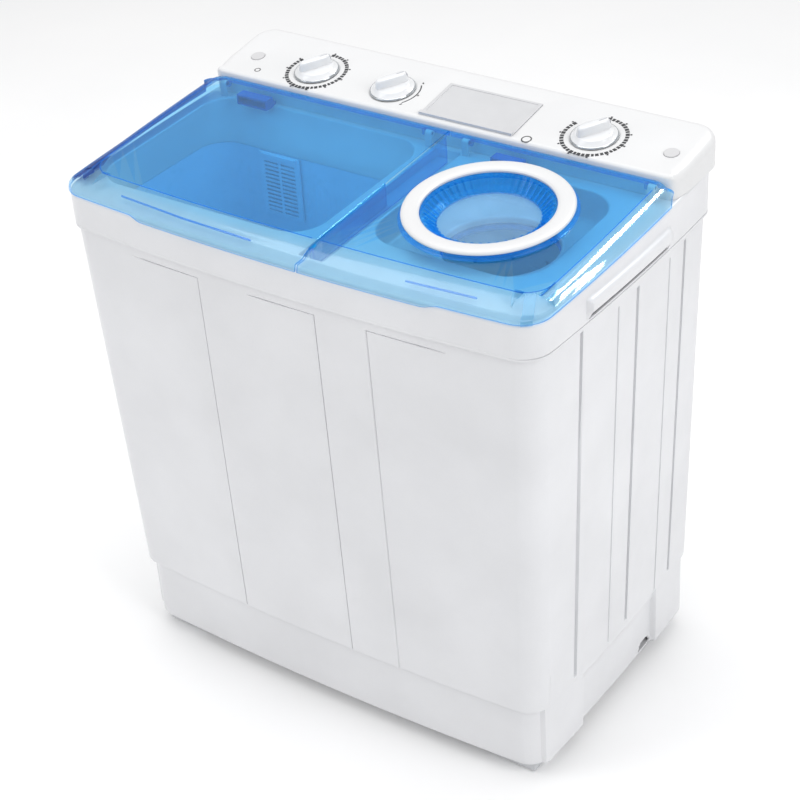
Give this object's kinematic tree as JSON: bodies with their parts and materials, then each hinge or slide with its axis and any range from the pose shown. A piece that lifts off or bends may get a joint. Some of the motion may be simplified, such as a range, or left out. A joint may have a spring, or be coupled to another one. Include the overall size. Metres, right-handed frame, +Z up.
{
  "type": "twin tub washer",
  "caption": "Twin tub washer with a pulsator wash tub, a spin basket, hinged translucent lids, a sloped console and side grips.",
  "frame": {"origin": "on the floor, at the middle of the width and depth", "axes": "+Z up, front of the machine towards -Y, +X to the right seen from the front"},
  "size_m": [0.758, 0.4812, 0.8085],
  "materials": {
    "white_plastic": "gloss moulded",
    "grey_plastic": "satin moulded",
    "rear_cover_plastic": "satin",
    "zinc_steel": "zinc plated",
    "tub_plastic": "smooth moulded",
    "black_rubber": "matte",
    "cast_aluminium": "cast",
    "motor_steel": "stamped steel",
    "bracket_steel": "grey primer",
    "basket_steel": "perforated sheet",
    "ring_plastic": "smooth moulded",
    "blue_translucent": "clear tinted gloss plastic",
    "label_silver": "metallic film",
    "knob_plastic": "gloss",
    "hose_plastic": "soft",
    "navy_plastic": "gloss"
  },
  "bodies": {
    "washer": {"cabinet": "white_plastic", "base": "white_plastic", "feet": "grey_plastic", "rear_cover": "rear_cover_plastic", "rear_cover_screws": "zinc_steel", "top_deck": "white_plastic", "side_handle_left": "white_plastic", "side_handle_right": "white_plastic", "wash_tub": "tub_plastic", "overflow_duct": "tub_plastic", "wash_shaft_seal": "black_rubber", "bearing_housing": "cast_aluminium", "drive_belt": "black_rubber", "wash_motor": "motor_steel", "drive_bracket": "bracket_steel", "bracket_posts": "bracket_steel", "spin_tub": "tub_plastic", "spin_shaft_seal": "black_rubber", "spin_motor": "motor_steel", "motor_mount_plate": "bracket_steel", "motor_mount_springs": "black_rubber", "brake_pivot_pin": "zinc_steel", "brake_cable": "black_rubber", "control_console": "white_plastic", "screw_caps": "grey_plastic", "label_plate": "label_silver", "wash_timer": "grey_plastic", "spin_timer": "grey_plastic", "selector_guide": "grey_plastic", "drain_valve_body": "tub_plastic", "drain_pipe": "hose_plastic", "drain_outlet": "grey_plastic", "spin_drain_pipe": "hose_plastic", "water_outlet_boxes": "navy_plastic", "water_inlet_ports": "grey_plastic", "capacitor": "grey_plastic", "cord_gland": "black_rubber"},
    "wash_lid": {"wash_lid": "blue_translucent", "wash_lid_pins": "blue_translucent"},
    "spin_lid": {"spin_lid": "blue_translucent", "spin_lid_pins": "blue_translucent", "porthole_ring": "white_plastic", "porthole_cone": "blue_translucent"},
    "wash_timer_knob": {"wash_timer_knob": "knob_plastic"},
    "selector_knob": {"selector_knob": "knob_plastic"},
    "spin_timer_knob": {"spin_timer_knob": "knob_plastic"},
    "pulsator": {"pulsator": "white_plastic", "pulsator_screw": "zinc_steel", "pulsator_shaft": "zinc_steel", "drive_pulley": "grey_plastic"},
    "wash_motor_rotor": {"motor_pulley": "cast_aluminium", "wash_motor_shaft": "zinc_steel"},
    "spin_basket": {"spin_basket": "basket_steel", "basket_ring": "ring_plastic", "spin_shaft": "zinc_steel", "brake_drum": "cast_aluminium"},
    "brake_lever": {"brake_lever": "bracket_steel"},
    "drain_valve": {"drain_pull_rod": "grey_plastic", "drain_valve_plug": "black_rubber"},
    "overflow_filter": {"overflow_filter": "tub_plastic"}
  },
  "joints": [
    {"name": "wash_lid_hinge", "type": "hinge", "parent": "washer", "child": "wash_lid", "pos_m": [0, 0.095, 0.764], "axis": [-1, 0, 0], "range_deg": [0, 92]},
    {"name": "spin_lid_hinge", "type": "hinge", "parent": "washer", "child": "spin_lid", "pos_m": [0.2, 0.095, 0.764], "axis": [-1, 0, 0], "range_deg": [0, 92]},
    {"name": "wash_timer_turn", "type": "hinge", "parent": "washer", "child": "wash_timer_knob", "pos_m": [-0.216, 0.149, 0.78464], "axis": [0, -0.1478, 0.989], "range_deg": [-300, 0]},
    {"name": "selector_turn", "type": "hinge", "parent": "washer", "child": "selector_knob", "pos_m": [-0.087, 0.149, 0.78464], "axis": [0, -0.1478, 0.989], "range_deg": [-120, 0]},
    {"name": "spin_timer_turn", "type": "hinge", "parent": "washer", "child": "spin_timer_knob", "pos_m": [0.227, 0.149, 0.78464], "axis": [0, -0.1478, 0.989], "range_deg": [-300, 0]},
    {"name": "pulsator_spin", "type": "hinge", "parent": "washer", "child": "pulsator", "pos_m": [-0.178, -0.046, 0.3], "axis": [0, 0, 1], "continuous": true},
    {"name": "motor_spin", "type": "hinge", "parent": "washer", "child": "wash_motor_rotor", "pos_m": [-0.078, -0.1, 0.25], "axis": [0, 0, 1], "continuous": true},
    {"name": "basket_spin", "type": "hinge", "parent": "washer", "child": "spin_basket", "pos_m": [0.19, -0.022, 0.4], "axis": [0, 0, 1], "continuous": true},
    {"name": "brake_turn", "type": "hinge", "parent": "washer", "child": "brake_lever", "pos_m": [0.262, -0.022, 0.31], "axis": [0, 0, 1], "range_deg": [0, 3.6]},
    {"name": "drain_lift", "type": "slide", "parent": "washer", "child": "drain_valve", "axis": [0, 0, 1], "range_m": [0, 0.0119]},
    {"name": "filter_lift", "type": "slide", "parent": "washer", "child": "overflow_filter", "axis": [0, 0, 1], "range_m": [0, 0.012]}
  ],
  "couplings": [
    {"joint": "motor_spin", "follows": "pulsator_spin", "ratio": 4.3529},
    {"joint": "brake_turn", "follows": "spin_lid_hinge", "ratio": 0.038},
    {"joint": "selector_turn", "follows": "drain_lift", "rad_per_m": -175.44}
  ]
}
